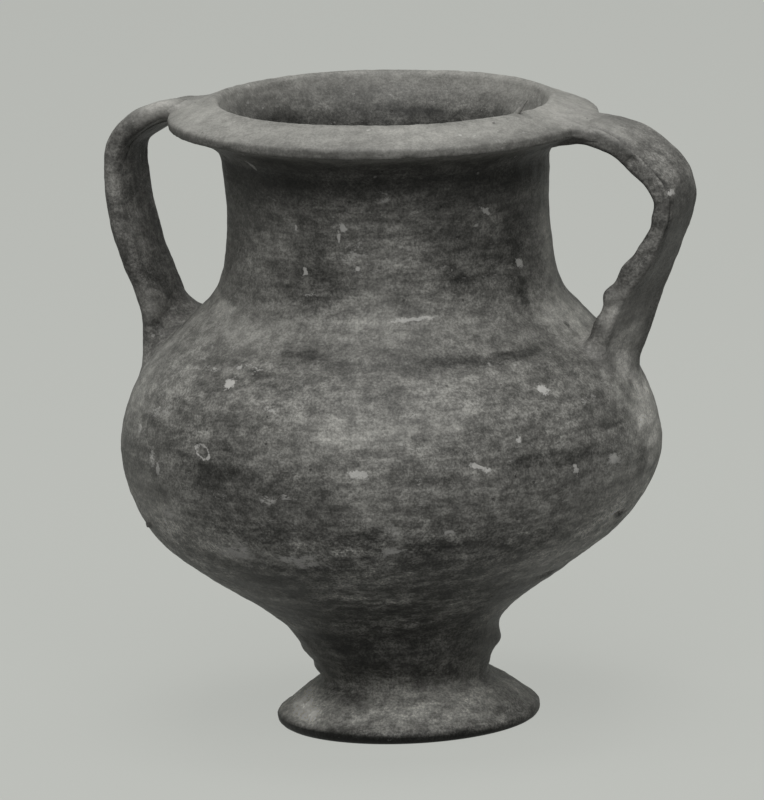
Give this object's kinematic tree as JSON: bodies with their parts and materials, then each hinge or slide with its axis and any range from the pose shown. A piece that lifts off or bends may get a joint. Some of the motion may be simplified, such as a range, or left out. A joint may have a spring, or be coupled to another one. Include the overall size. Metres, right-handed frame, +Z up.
{
  "type": "amphoriskos",
  "caption": "Small fired-clay amphora on a flaring foot, with a broad sloping lip, wide neck, round belly and strap handles from lip to shoulder, for holding oil or wine.",
  "frame": {"origin": "centre of the foot's flat resting face", "axes": "+Z up through the mouth, +X towards the right handle, +Y away from the side that faces the viewer"},
  "size_m": [0.1225, 0.1105, 0.1309],
  "materials": {
    "thrown_clay": "unglazed, worn and lightly burnished",
    "pulled_clay": "unglazed, hand-pulled",
    "luting_clay": "unglazed, finger-smeared"
  },
  "bodies": {
    "root": {"foot": "thrown_clay", "stem": "thrown_clay", "bowl": "thrown_clay", "shoulder": "thrown_clay", "neck": "thrown_clay", "lip": "thrown_clay", "right_handle": "pulled_clay", "left_handle": "pulled_clay", "right_handle_top_pad": "luting_clay", "right_handle_root_pad": "luting_clay", "left_handle_top_pad": "luting_clay", "left_handle_root_pad": "luting_clay"}
  },
  "joints": []
}
